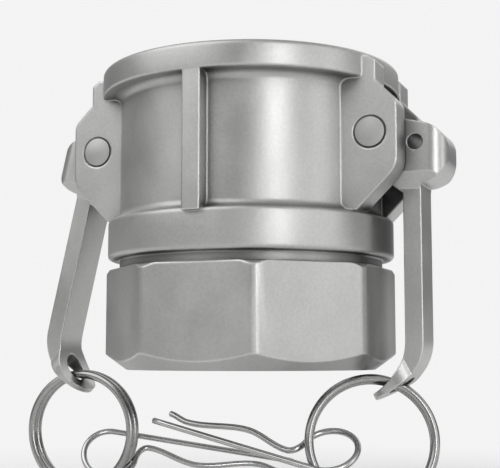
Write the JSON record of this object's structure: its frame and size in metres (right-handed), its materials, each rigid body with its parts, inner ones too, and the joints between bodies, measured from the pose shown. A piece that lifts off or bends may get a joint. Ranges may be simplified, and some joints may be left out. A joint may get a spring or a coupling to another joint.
{
  "type": "cam and groove coupling",
  "caption": "Stainless hose coupling with a smooth socket, two cam arms on pins, pull rings with wire clips, a gasket and a threaded eight-sided end.",
  "frame": {"origin": "centre of the threaded end's face", "axes": "+Z along the coupling's axis towards the socket's mouth, +X through the right arm's pivot"},
  "size_m": [0.1229, 0.08, 0.1135],
  "materials": {
    "cast_steel": "blasted stainless casting, slightly rough",
    "bright_steel": "smooth drawn stainless wire and pins",
    "rubber": "matt black rubber"
  },
  "bodies": {
    "coupler": {"coupler_body": "cast_steel", "gasket": "rubber", "pivot_pin_right": "bright_steel", "pivot_pin_left": "bright_steel"},
    "arm_right": {"cam_arm_right": "cast_steel"},
    "arm_left": {"cam_arm_left": "cast_steel"},
    "ring_right": {"pull_ring_right": "bright_steel"},
    "ring_left": {"pull_ring_left": "bright_steel"},
    "clip_right": {"safety_clip_right": "bright_steel"},
    "clip_left": {"safety_clip_left": "bright_steel"}
  },
  "joints": [
    {"name": "arm_right_pivot", "type": "hinge", "parent": "coupler", "child": "arm_right", "pos_m": [0.038, 0, 0.0584], "axis": [0, -1, 0], "range_deg": [0, 66]},
    {"name": "arm_left_pivot", "type": "hinge", "parent": "coupler", "child": "arm_left", "pos_m": [-0.038, 0, 0.0584], "axis": [0, 1, 0], "range_deg": [-13, 53]},
    {"name": "ring_right_swivel", "type": "hinge", "parent": "arm_right", "child": "ring_right", "pos_m": [0.04054, 0, -0.00302], "axis": [0.4695, 0, -0.8829], "range_deg": [-13, 53]},
    {"name": "ring_left_swivel", "type": "hinge", "parent": "arm_left", "child": "ring_left", "pos_m": [-0.05429, 0, -0.00087], "axis": [-0.6561, 0, -0.7547], "range_deg": [-33, 33]},
    {"name": "clip_right_swing", "type": "hinge", "parent": "ring_right", "child": "clip_right", "pos_m": [0.02427, -0.00811, -0.0199], "axis": [-0.0514, 0.6145, -0.7873], "range_deg": [-60, 45]},
    {"name": "clip_left_swing", "type": "hinge", "parent": "ring_left", "child": "clip_left", "pos_m": [-0.04212, 0, -0.02353], "axis": [-0.4083, 0.7193, -0.562], "range_deg": [-60, 60]}
  ]
}
